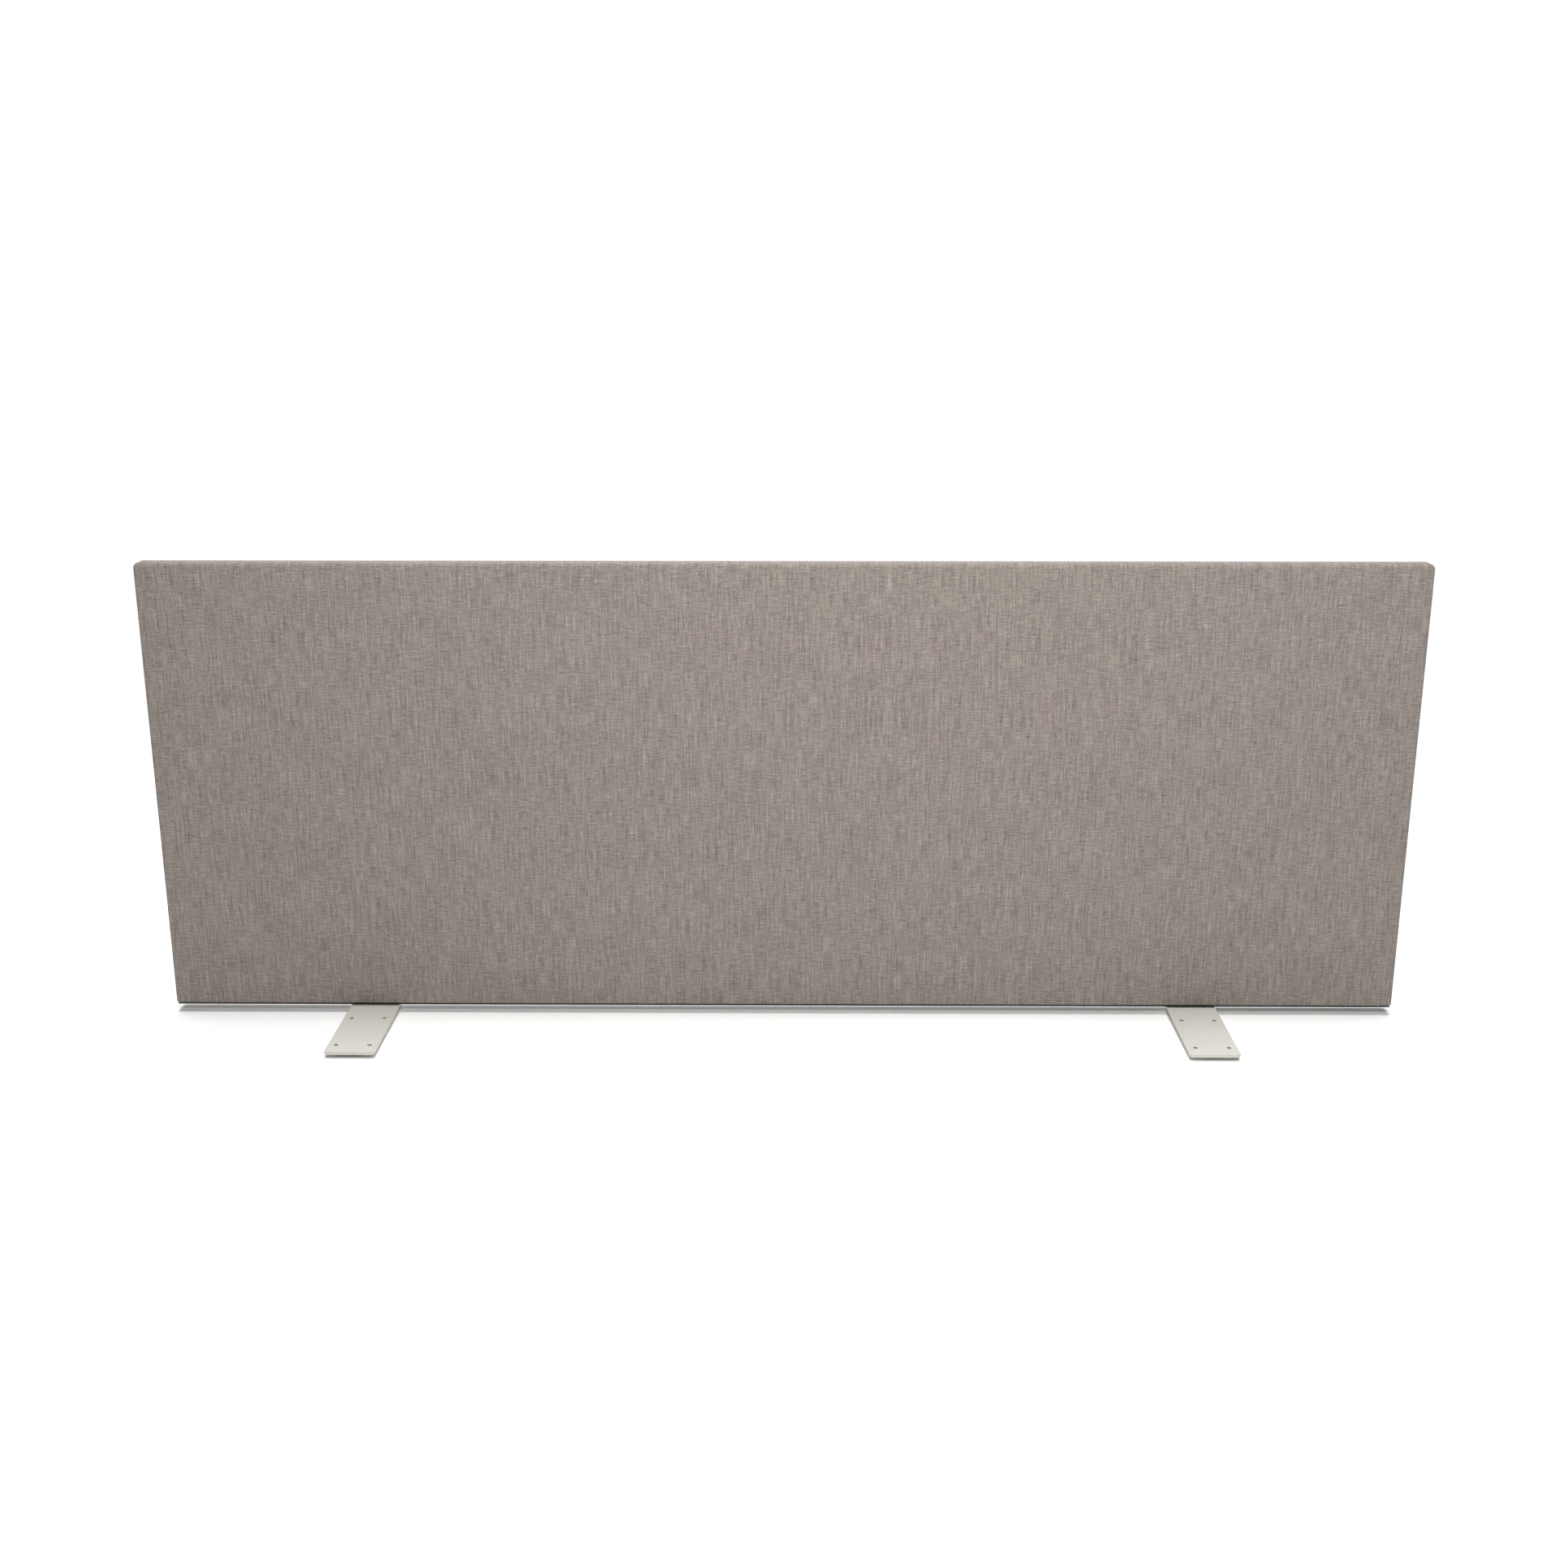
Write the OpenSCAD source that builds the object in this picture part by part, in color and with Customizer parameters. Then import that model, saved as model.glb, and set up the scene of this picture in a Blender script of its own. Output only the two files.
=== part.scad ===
// Fabric covered privacy panel for the rear edge of a desk.
//
// The panel stands behind the worktop, and its bottom rail is level with the worktop's underside.
// Two flat brackets lie under the worktop and under the rail, and bolt up into the rail's slot.
//
// Millimetres. X runs along the panel, -Y is the side of the person at the desk and Z is up.
// The origin is the middle of the rail's underside, in the plane of the worktop's underside.

/* [Panel] */
// Width over the fabric
panel_w = 1524; // [1000:1:1830]
// Height from the rail's underside to the top edge
panel_h = 558.8; // [300:0.1:900]
// Thickness over both fabric faces
panel_t = 25; // [24:0.5:32]
// Radius of the two top corners, seen from the front
corner_r = 6.5; // [6:0.5:30]
// Radius of the soft edge between a face and the sides or top
edge_r = 4.5; // [4:0.25:6]

/* [Cover] */
// Thickness of the woven cover
fabric_t = 1; // [0.6:0.1:1.2]
// Thickness of the fleece under the cover
fleece_t = 2; // [1:0.5:2.5]
// Place of the cover's seam across the edge, from the panel's middle towards the back
seam_y = 7; // [0:0.5:7]

/* [Frame] */
// Thickness of each face board
board_t = 3.5; // [2.5:0.5:4]
// Width of the wooden top rail and stiles
timber_w = 28; // [24:1:60]
// Diameter of the dowels in the frame's joints
dowel_d = 6; // [5:0.5:7]
// Length of those dowels
dowel_l = 36; // [24:2:40]

/* [Bottom rail] */
// Height that the rail's land stands proud of the hem groove
land_h = 5; // [4:0.5:8]
// Height of the shoulder that the boards stand on
shoulder_h = 14; // [13:0.5:20]
// Height of the tongue between the boards
tongue_h = 20; // [14:1:30]
// Width of the slot's mouth
slot_mouth = 7.2; // [7:0.1:8]
// Thickness of the lips beside the mouth
slot_lip = 3; // [2.5:0.5:4]
// Width of the slot's chamber, for the nuts
slot_w = 12.4; // [12.2:0.1:12.8]
// Height of the slot's chamber
slot_h = 6; // [5.5:0.5:6]
// Screws in each row that holds a board to the tongue
rail_screws = 5; // [3:1:9]

/* [Brackets] */
// Distance of each bracket's middle from the panel's end
bracket_inset = 250; // [80:1:400]
// Width of a bracket plate
bracket_w = 60; // [56:1:90]
// Reach of a bracket plate under the worktop, from the panel's middle
bracket_reach = 150; // [120:1:220]
// Thickness of a bracket plate
bracket_t = 4; // [3:0.5:6]
// Distance between a bracket's two bolts
bolt_gap = 36; // [34:1:40]
// Adjustment of a bracket each way in its slots
slot_travel = 5; // [2:0.5:5]
// Distance between the worktop screws, along the panel
screw_gap_x = 40; // [30:1:40]
// Distance between the worktop screws, away from the panel
screw_gap_y = 80; // [40:1:80]

/* [Hidden] */
$fn = 64;
clear = 0.1;        // room round a piece that is pushed or screwed in

// The frame is what is left inside the cover and the fleece.
wrap_t = fabric_t + fleece_t;
frame_w = panel_w - 2 * wrap_t;
frame_top = panel_h - wrap_t;
frame_t = panel_t - 2 * wrap_t;
core_t = frame_t - 2 * board_t;
stile_x = frame_w / 2 - timber_w;      // inner face of a stile
rail_z = frame_top - timber_w;         // underside of the top rail
tongue_z = shoulder_h + tongue_h;      // top of the tongue
corner_x = panel_w / 2 - corner_r;     // centre of a top corner
corner_z = panel_h - corner_r;

// The bottom rail's section
hem_z = land_h - fabric_t;             // underside of the fabric
rail_t = panel_t - 2 * fabric_t;
land_w = slot_w + 2.6;
rail_wall = 1;                         // wall outside a hem groove
groove_w = 3;
groove_h = 5.5;
web_t = 2;
web_z = slot_lip + slot_h + web_t;     // top of the web over the slot
chamber_w = core_t - 3.6;
cap_l = 5;                             // length of a cap outside the rail
peg_l = 8;                             // and of its peg inside
rail_w = panel_w - 2 * (fabric_t + cap_l);

// Screws and bolts
screw_r = 1.6;
screw_head_r = 3.4;
rail_screw_z = shoulder_h + tongue_h / 2;
rail_screw_span = panel_w - 324;
stile_screw_x = stile_x + 10;
stile_screw_l = 26;
bolt_r = 3;
nut_l = 16;
nut_h = 4.6;
washer_r = 7;
washer_t = 1.5;
head_r = 5.25;
head_h = 3.3;
socket_af = 4;
bracket_x = panel_w / 2 - bracket_inset;
bracket_back = panel_t / 2;
worktop_screw_y = -(bracket_reach - 20 - screw_gap_y / 2);
worktop_screw_r = 2.75;
mark_w = 1;                            // line across a bracket at the worktop's rear edge
mark_depth = 0.4;

// ---- shapes that several pieces share ----

// The panel's edge in section, drawn outwards from a corner's centre and inset by d all round.
module edge_section(d, r) {
    w = corner_r - d;
    h = panel_t / 2 - d;
    translate([0, -h]) square([w - r, 2 * h]);
    translate([0, r - h]) square([w, 2 * (h - r)]);
    for (s = [-1, 1]) translate([w - r, s * (h - r)]) circle(r);
}

// One layer of the wrap in section, t thick under a depth d, between two places across the edge.
module layer_section(d, t, r_out, r_in, y0, y1) {
    intersection() {
        difference() {
            edge_section(d, r_out);
            if (r_in > 0) edge_section(d + t, r_in);
            else translate([-1, d + t - panel_t / 2]) square([corner_r - d - t + 1, panel_t - 2 * (d + t)]);
        }
        translate([0, y0]) square([corner_r + 1, y1 - y0]);
    }
}

// A section carried up both sides of the panel and over its top.
module round_the_edge(bottom) {
    for (s = [0, 1]) mirror([s, 0, 0]) {
        translate([corner_x, 0, bottom]) linear_extrude(corner_z - bottom) children();
        translate([corner_x, 0, corner_z]) rotate([-90, 0, 0]) rotate([0, 0, -90])
            rotate_extrude(angle = 90) children();
    }
    translate([corner_x, 0, corner_z]) rotate([0, -90, 0]) linear_extrude(2 * corner_x) children();
}

// The flat of a layer between the two sides, with its outer face at y.
module flat_of_layer(y, t, bottom) {
    translate([-corner_x, y, bottom]) cube([2 * corner_x, t, corner_z - bottom]);
}

// A flat slab of the frame's outline, with rounded top corners.
module frame_slab(y, t, bottom) {
    r = corner_r - wrap_t;
    x = frame_w / 2 - r;
    translate([0, y + t, 0]) rotate([90, 0, 0]) linear_extrude(t) {
        translate([-frame_w / 2, bottom]) square([frame_w, frame_top - r - bottom]);
        translate([-x, frame_top - r]) square([2 * x, r]);
        for (s = [-1, 1]) intersection() {
            translate([s * x, frame_top - r]) circle(r);
            translate([s > 0 ? x : -frame_w / 2, frame_top - r]) square([r, r]);
        }
    }
}

// The dowels' places: two in each joint between the top rail and a stile.
dowel_x = [for (c = [-stile_x - timber_w / 2, 0, stile_x + timber_w / 2], s = [-1, 1]) c + s * timber_w / 4];

module dowels(r, l) {
    for (x = dowel_x) translate([x, 0, rail_z - l / 2]) cylinder(r = r, h = l);
}

// The places of one row of screws through a board into the tongue.
rail_screw_x = [for (i = [0 : rail_screws - 1]) (i / (rail_screws - 1) - 0.5) * rail_screw_span];

// A countersunk screw along +Y, or the hole for it, with its head's face at y = 0.
module board_screw(grow, l) {
    rotate([-90, 0, 0]) {
        cylinder(r = screw_r + grow, h = l);
        cylinder(r1 = screw_head_r + grow, r2 = screw_r + grow, h = 2);
    }
}

module rail_screw_row(side, grow, l) {
    for (x = rail_screw_x) translate([x, side * frame_t / 2, rail_screw_z])
        rotate([0, 0, side < 0 ? 0 : 180]) board_screw(grow, l);
}

// ---- cover and fleece ----

// The hem turns in under the rail and up into its groove.
module hem() {
    translate([-rail_w / 2, -panel_t / 2, hem_z]) cube([rail_w, 2 * fabric_t + rail_wall, fabric_t]);
    translate([-rail_w / 2, rail_wall - rail_t / 2, hem_z]) cube([rail_w, fabric_t, groove_h]);
}

module cover_front() {
    color([0.58, 0.53, 0.48]) {
        round_the_edge(hem_z) layer_section(0, fabric_t, edge_r, edge_r - fabric_t, -panel_t / 2, seam_y);
        flat_of_layer(-panel_t / 2, fabric_t, hem_z);
        hem();
    }
}

module cover_back() {
    color([0.58, 0.53, 0.48]) {
        round_the_edge(hem_z) layer_section(0, fabric_t, edge_r, edge_r - fabric_t, seam_y, panel_t / 2);
        flat_of_layer(panel_t / 2 - fabric_t, fabric_t, hem_z);
        mirror([0, 1, 0]) hem();
    }
}

module fleece_front() {
    color([0.93, 0.92, 0.88]) {
        round_the_edge(shoulder_h) layer_section(fabric_t, fleece_t, edge_r - fabric_t, 0, -panel_t / 2, seam_y);
        flat_of_layer(-rail_t / 2, fleece_t, shoulder_h);
    }
}

module fleece_back() {
    color([0.93, 0.92, 0.88]) {
        round_the_edge(shoulder_h) layer_section(fabric_t, fleece_t, edge_r - fabric_t, 0, seam_y, panel_t / 2);
        flat_of_layer(rail_t / 2 - fleece_t, fleece_t, shoulder_h);
    }
}

// ---- boards, core and timber frame ----

module board_front() {
    color([0.72, 0.56, 0.38]) difference() {
        frame_slab(-frame_t / 2, board_t, shoulder_h);
        rail_screw_row(-1, clear, board_t + 1);
    }
}

module board_back() {
    color([0.72, 0.56, 0.38]) difference() {
        frame_slab(core_t / 2, board_t, shoulder_h);
        rail_screw_row(1, clear, board_t + 1);
    }
}

module core() {
    color([0.62, 0.64, 0.66]) translate([timber_w / 2, -core_t / 2, tongue_z])
        cube([stile_x - timber_w / 2, core_t, rail_z - tongue_z]);
}

module core_left() {
    mirror([1, 0, 0]) core();
}

module core_right() {
    core();
}

module top_rail() {
    color([0.82, 0.68, 0.47]) difference() {
        frame_slab(-core_t / 2, core_t, rail_z);
        dowels(dowel_d / 2 + clear / 2, dowel_l + 1);
    }
}

module stile() {
    color([0.82, 0.68, 0.47]) difference() {
        translate([stile_x, -core_t / 2, shoulder_h]) cube([timber_w, core_t, rail_z - shoulder_h]);
        dowels(dowel_d / 2 + clear / 2, dowel_l + 1);
        translate([stile_screw_x, 0, 0]) cylinder(r = screw_r + clear, h = shoulder_h + stile_screw_l);
    }
}

module left_stile() {
    mirror([1, 0, 0]) stile();
}

module right_stile() {
    stile();
}

module middle_stile() {
    color([0.82, 0.68, 0.47]) difference() {
        translate([-timber_w / 2, -core_t / 2, tongue_z]) cube([timber_w, core_t, rail_z - tongue_z]);
        dowels(dowel_d / 2 + clear / 2, dowel_l + 1);
    }
}

module frame_dowels() {
    color([0.88, 0.76, 0.56]) dowels(dowel_d / 2, dowel_l);
}

// ---- bottom rail ----

// The rail's outline in section: a land, a wider shoulder and a tongue.
module rail_outline() {
    translate([-land_w / 2, 0]) square([land_w, land_h + 1]);
    translate([-rail_t / 2, land_h]) square([rail_t, shoulder_h - land_h]);
    translate([-core_t / 2, shoulder_h - 1]) square([core_t, tongue_h + 1]);
}

module rail_hollows() {
    translate([-slot_mouth / 2, -1]) square([slot_mouth, slot_lip + 2]);
    translate([-slot_w / 2, slot_lip]) square([slot_w, slot_h]);
    translate([-chamber_w / 2, web_z]) square([chamber_w, tongue_z - web_t - web_z]);
    for (s = [0, 1]) mirror([s, 0])
        translate([rail_t / 2 - rail_wall - groove_w, land_h - 1]) square([groove_w, groove_h + 1]);
}

module bottom_rail() {
    color([0.12, 0.12, 0.13]) difference() {
        translate([-rail_w / 2, 0, 0]) rotate([90, 0, 90]) linear_extrude(rail_w) difference() {
            rail_outline();
            rail_hollows();
        }
        // The tongue is cut away where the stiles stand.
        for (s = [0, 1]) mirror([s, 0, 0]) {
            translate([stile_x, -core_t, shoulder_h]) cube([timber_w, 2 * core_t, tongue_h + 1]);
            translate([stile_screw_x, 0, slot_lip + 1]) cylinder(r = screw_r + clear, h = shoulder_h);
        }
        rail_screw_row(-1, clear, board_t + 4);
        rail_screw_row(1, clear, board_t + 4);
    }
}

// A cap closes the rail's end, and its corners follow the inside of the cover.
module end_cap() {
    r = edge_r - fabric_t;
    color([0.1, 0.1, 0.11]) translate([rail_w / 2, 0, 0]) {
        translate([0, -land_w / 2, 0]) cube([cap_l, land_w, land_h]);
        translate([0, 0, land_h]) linear_extrude(shoulder_h - land_h) intersection() {
            translate([0, -rail_t / 2]) square([cap_l, rail_t]);
            union() {
                translate([0, -rail_t / 2]) square([cap_l - r, rail_t]);
                translate([0, r - rail_t / 2]) square([cap_l, rail_t - 2 * r]);
                for (s = [-1, 1]) translate([cap_l - r, s * (rail_t / 2 - r)]) circle(r);
            }
        }
        // The peg plugs into the chamber over the slot.
        translate([-peg_l, clear - chamber_w / 2, web_z + clear])
            cube([peg_l + 1, chamber_w - 2 * clear, shoulder_h - web_z - 2 * clear]);
    }
}

module left_end_cap() {
    mirror([1, 0, 0]) end_cap();
}

module right_end_cap() {
    end_cap();
}

// A flat strip sewn to the hem holds it in the groove.
module hem_strip() {
    w = groove_w - fabric_t - clear;
    color([0.16, 0.15, 0.14]) translate([-rail_w / 2, rail_wall + fabric_t - rail_t / 2, hem_z])
        cube([rail_w, w, groove_h]);
}

module front_hem_strip() {
    hem_strip();
}

module back_hem_strip() {
    mirror([0, 1, 0]) hem_strip();
}

// ---- screws inside the panel ----

module stile_screws() {
    head_z = slot_lip + slot_h;
    color([0.75, 0.74, 0.7]) for (s = [0, 1]) mirror([s, 0, 0]) translate([stile_screw_x, 0, head_z]) {
        cylinder(r = screw_r, h = stile_screw_l);
        translate([0, 0, -1.8]) cylinder(r1 = screw_head_r - 0.8, r2 = screw_head_r, h = 1.8);
    }
}

module front_rail_screws() {
    color([0.75, 0.74, 0.7]) rail_screw_row(-1, 0, board_t + 3);
}

module back_rail_screws() {
    color([0.75, 0.74, 0.7]) rail_screw_row(1, 0, board_t + 3);
}

// ---- brackets and their bolts ----

module plate_outline(x0, x1, y0, y1, r) {
    translate([x0 + r, y0]) square([x1 - x0 - 2 * r, y1 - y0]);
    translate([x0, y0 + r]) square([x1 - x0, y1 - y0 - 2 * r]);
    for (x = [x0 + r, x1 - r], y = [y0 + r, y1 - r]) translate([x, y]) circle(r);
}

// A flat plate, with two slots under the rail and four countersunk holes under the worktop.
// A fine line across its top shows the fitter where the worktop's rear edge comes.
module bracket() {
    slot_r = bolt_r + 0.4;
    color([0.86, 0.85, 0.81]) translate([bracket_x, 0, -bracket_t]) difference() {
        linear_extrude(bracket_t) difference() {
            plate_outline(-bracket_w / 2, bracket_w / 2, -bracket_reach, bracket_back, 4);
            for (s = [-1, 1]) translate([s * bolt_gap / 2, 0]) {
                translate([-slot_r, -slot_travel]) square([2 * slot_r, 2 * slot_travel]);
                for (y = [-slot_travel, slot_travel]) translate([0, y]) circle(slot_r);
            }
        }
        translate([-bracket_w, -panel_t / 2 - mark_w, bracket_t - mark_depth])
            cube([2 * bracket_w, mark_w, bracket_t]);
        for (x = [-screw_gap_x / 2, screw_gap_x / 2], y = [-screw_gap_y / 2, screw_gap_y / 2])
            translate([x, worktop_screw_y + y, 0]) {
                translate([0, 0, -1]) cylinder(r = worktop_screw_r, h = bracket_t + 2);
                translate([0, 0, -0.5]) cylinder(r1 = worktop_screw_r + 3, r2 = worktop_screw_r, h = 3);
            }
    }
}

module at_each_bolt() {
    for (s = [-1, 1]) translate([bracket_x + s * bolt_gap / 2, 0, 0]) children();
}

// A nut that slides in the slot: a flange in the chamber and a boss in the mouth.
module slot_nuts() {
    boss_w = slot_mouth - 0.6;
    flange_w = slot_w - 0.8;
    color([0.7, 0.7, 0.68]) at_each_bolt() difference() {
        union() {
            translate([-nut_l / 2, -flange_w / 2, slot_lip]) cube([nut_l, flange_w, nut_h]);
            translate([-nut_l / 2, -boss_w / 2, 0.6]) cube([nut_l, boss_w, slot_lip]);
        }
        cylinder(r = bolt_r + clear / 2, h = slot_lip + slot_h);
    }
}

// A button head bolt with a hexagon socket, put in from below.
module bolts() {
    under_head = -bracket_t - washer_t;
    tip = slot_lip + slot_h - 0.6;
    dome_r = (head_r * head_r + head_h * head_h) / (2 * head_h);
    color([0.3, 0.3, 0.31]) at_each_bolt() {
        translate([0, 0, under_head]) cylinder(r = bolt_r, h = tip - under_head);
        translate([0, 0, under_head]) difference() {
            intersection() {
                translate([0, 0, dome_r - head_h]) sphere(dome_r);
                translate([0, 0, -head_h]) cylinder(r = head_r + 1, h = head_h);
            }
            translate([0, 0, -head_h - 1]) cylinder(r = socket_af / sqrt(3), h = 3, $fn = 6);
        }
    }
}

module washers() {
    color([0.78, 0.78, 0.76]) at_each_bolt() translate([0, 0, -bracket_t - washer_t]) difference() {
        cylinder(r = washer_r, h = washer_t);
        translate([0, 0, -1]) cylinder(r = bolt_r + 0.2, h = washer_t + 2);
    }
}

module left_bracket() {
    mirror([1, 0, 0]) bracket();
}

module right_bracket() {
    bracket();
}

module left_slot_nuts() {
    mirror([1, 0, 0]) slot_nuts();
}

module right_slot_nuts() {
    slot_nuts();
}

module left_bolts() {
    mirror([1, 0, 0]) bolts();
}

module right_bolts() {
    bolts();
}

module left_washers() {
    mirror([1, 0, 0]) washers();
}

module right_washers() {
    washers();
}

cover_front();
cover_back();
fleece_front();
fleece_back();
board_front();
board_back();
core_left();
core_right();
top_rail();
left_stile();
right_stile();
middle_stile();
frame_dowels();
bottom_rail();
left_end_cap();
right_end_cap();
front_hem_strip();
back_hem_strip();
stile_screws();
front_rail_screws();
back_rail_screws();
left_bracket();
right_bracket();
left_slot_nuts();
right_slot_nuts();
left_bolts();
right_bolts();
left_washers();
right_washers();
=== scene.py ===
# %% [markdown]
# # A fabric covered desk privacy panel
#
# The panel is a light sandwich: two fibreboard faces on a timber frame, a thin fleece over them, and
# a woven cover pulled over the fleece. A black aluminium rail closes its foot and carries two
# off-white steel brackets, which lie under the worktop.
#
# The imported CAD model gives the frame: every size below is read from it, or is one of the few sizes
# named here. What the solids can't have is made here: the cloth, its weave, its seam and its hem.

# %% Load the frame
import math

import bmesh
import bpy
import numpy as np
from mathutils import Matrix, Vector, noise


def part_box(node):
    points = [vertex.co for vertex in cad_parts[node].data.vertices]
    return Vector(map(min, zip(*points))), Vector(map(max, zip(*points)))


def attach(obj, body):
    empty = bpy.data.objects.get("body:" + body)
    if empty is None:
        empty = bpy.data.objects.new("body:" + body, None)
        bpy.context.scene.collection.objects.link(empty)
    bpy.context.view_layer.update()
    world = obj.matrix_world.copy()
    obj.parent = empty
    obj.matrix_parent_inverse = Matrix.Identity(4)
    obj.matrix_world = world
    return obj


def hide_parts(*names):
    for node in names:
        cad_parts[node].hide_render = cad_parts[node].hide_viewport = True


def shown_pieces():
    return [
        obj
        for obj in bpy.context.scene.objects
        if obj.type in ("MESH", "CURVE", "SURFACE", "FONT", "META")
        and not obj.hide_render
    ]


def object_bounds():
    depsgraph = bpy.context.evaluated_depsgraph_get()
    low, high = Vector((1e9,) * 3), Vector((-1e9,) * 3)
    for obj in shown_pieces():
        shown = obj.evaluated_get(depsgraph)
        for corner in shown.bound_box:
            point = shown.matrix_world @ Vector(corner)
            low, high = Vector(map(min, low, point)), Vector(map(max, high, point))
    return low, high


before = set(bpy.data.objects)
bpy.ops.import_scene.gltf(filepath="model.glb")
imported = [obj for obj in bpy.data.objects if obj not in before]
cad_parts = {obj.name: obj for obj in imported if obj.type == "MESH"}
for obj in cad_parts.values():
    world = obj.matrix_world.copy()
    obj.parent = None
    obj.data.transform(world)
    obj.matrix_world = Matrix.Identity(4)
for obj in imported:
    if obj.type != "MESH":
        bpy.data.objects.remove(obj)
cad_low, cad_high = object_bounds()
print("CAD box", [round(v, 4) for v in (*cad_low, *cad_high)])

MM = 0.001
SAME = 1e-6                               # points closer than this are one place

# %% [markdown]
# ## Camera
#
# The person looking at the panel stands in front of the desk, with the eye above the top edge. It
# looks down on the panel by about sixteen degrees, so the sides lean in towards the foot and a
# sliver of the top edge shows. A camera's place, pitch and lens decide that together, so they are
# set first and stay fixed.

# %% Camera
WORKTOP = 25.4 * MM                       # the panel's foot stands this far below the worktop's surface
EYE_RIGHT = 17.7 * MM                     # of the panel's middle
EYE_BACK = 2.0774                         # metres in front of the panel's face
EYE_UP = 0.8674                           # metres above the worktop's surface
PITCH, YAW = math.radians(16.149), math.radians(-0.437)
LENS, SENSOR = 41.07, 36.0                # millimetres

panel_low, panel_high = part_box("cover_front")
EYE = Vector((EYE_RIGHT, panel_low.y - EYE_BACK, WORKTOP + EYE_UP))

camera_data = bpy.data.cameras.new("camera")
camera_data.lens = LENS
camera_data.sensor_width = SENSOR
camera_data.clip_start, camera_data.clip_end = 0.01, 100
camera = bpy.data.objects.new("camera", camera_data)
camera.location = EYE
camera.rotation_euler = (math.radians(90) - PITCH, 0, -YAW)
bpy.context.scene.collection.objects.link(camera)
bpy.context.scene.camera = camera
print("camera", [round(v, 3) for v in EYE], "lens", camera_data.lens)

# %% [markdown]
# ## Node helpers
#
# Every material here is a small graph. These helpers keep each graph short enough to read: one makes
# a group with named sockets, the others add a node and wire its inputs in one line.

# %% Node helpers
def new_group(name, inputs, outputs):
    """A shader node group with named sockets, its tree, and its input and output nodes."""
    tree = bpy.data.node_groups.new(name, "ShaderNodeTree")
    for label, kind, default in inputs:
        socket = tree.interface.new_socket(label, in_out="INPUT", socket_type="NodeSocket" + kind)
        if default is not None:
            socket.default_value = default
    for label, kind in outputs:
        tree.interface.new_socket(label, in_out="OUTPUT", socket_type="NodeSocket" + kind)
    return tree, tree.nodes.new("NodeGroupInput"), tree.nodes.new("NodeGroupOutput")


def wire(tree, source, socket):
    """Links source to a socket, or sets the socket where source is a plain value."""
    if isinstance(source, bpy.types.NodeSocket):
        tree.links.new(source, socket)
    else:
        socket.default_value = source


def maths(tree, operation, a, b=0.0, c=0.0, clamp=False):
    node = tree.nodes.new("ShaderNodeMath")
    node.operation, node.use_clamp = operation, clamp
    for source, socket in zip((a, b, c), node.inputs):
        wire(tree, source, socket)
    return node.outputs[0]


def vector(tree, x, y, z=0.0):
    node = tree.nodes.new("ShaderNodeCombineXYZ")
    for source, socket in zip((x, y, z), node.inputs):
        wire(tree, source, socket)
    return node.outputs[0]


def split(tree, source):
    node = tree.nodes.new("ShaderNodeSeparateXYZ")
    wire(tree, source, node.inputs[0])
    return node.outputs


def ripple(tree, place, scale=1.0, detail=1.0, roughness=0.5):
    """Smooth noise about 0.5 over a place, as a mask."""
    node = tree.nodes.new("ShaderNodeTexNoise")
    node.noise_dimensions = "3D"
    wire(tree, place, node.inputs["Vector"])
    wire(tree, scale, node.inputs["Scale"])
    wire(tree, detail, node.inputs["Detail"])
    wire(tree, roughness, node.inputs["Roughness"])
    return node.outputs["Fac"]


def remap(tree, source, low, high, new_low=0.0, new_high=1.0, smooth=False):
    node = tree.nodes.new("ShaderNodeMapRange")
    node.interpolation_type = "SMOOTHSTEP" if smooth else "LINEAR"
    for value, label in zip((source, low, high, new_low, new_high),
                            ("Value", "From Min", "From Max", "To Min", "To Max")):
        wire(tree, value, node.inputs[label])
    return node.outputs[0]


def blended(tree, factor, a, b, kind="MIX"):
    node = tree.nodes.new("ShaderNodeMix")
    node.data_type, node.blend_type = "RGBA", kind
    for value, index in ((factor, 0), (a, 6), (b, 7)):
        wire(tree, value, node.inputs[index])
    return node.outputs[2]


def use_group(tree, group, **values):
    """Places a group in a material; a socket's name has its spaces as underscores."""
    node = tree.nodes.new("ShaderNodeGroup")
    node.node_tree = group
    for label, value in values.items():
        wire(tree, value, node.inputs[label.replace("_", " ")])
    return node


def new_material(name):
    """A new material, its tree and its Principled shader, ready to wire."""
    material = bpy.data.materials.new(name)
    material.use_nodes = True
    return material, material.node_tree, material.node_tree.nodes["Principled BSDF"]


def bump(tree, shader, height, distance, strength=1.0):
    node = tree.nodes.new("ShaderNodeBump")
    node.inputs["Distance"].default_value = distance
    node.inputs["Strength"].default_value = strength
    wire(tree, height, node.inputs["Height"])
    tree.links.new(node.outputs["Normal"], shader.inputs["Normal"])


print("node helpers ready")

# %% [markdown]
# ## The cloth's weave
#
# The cover is a linen-look upholstery cloth in plain weave: upright warp yarns and level weft yarns
# pass over and under each other, about thirteen to the centimetre. Seen from a step away the weave
# itself blends, and what shows is how uneven the yarns are. They are spun from light and dark fibres,
# so each yarn's tone drifts along its length. Long thin warp yarns stand out as upright lines, and
# short thick places in the weft as light level dashes.
#
# A product of two sine waves is positive where a warp yarn is on top and negative where a weft yarn
# is, so it gives the weave's chequer and its relief at once. Each yarn's own number then picks a
# strip out of a stretched noise, so that neighbours differ. Noises stretched along one yarn direction
# or the other make the lines and dashes. All of it reads the cloth's UV map, which is laid out in
# metres on the flat cloth, so that threads run round the edges as they should.

# %% Weave group
YARN_PITCH = 0.75                         # millimetres from one yarn to the next
YARN_APART = 0.83                         # each yarn reads its noise this far from its neighbour's


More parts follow.
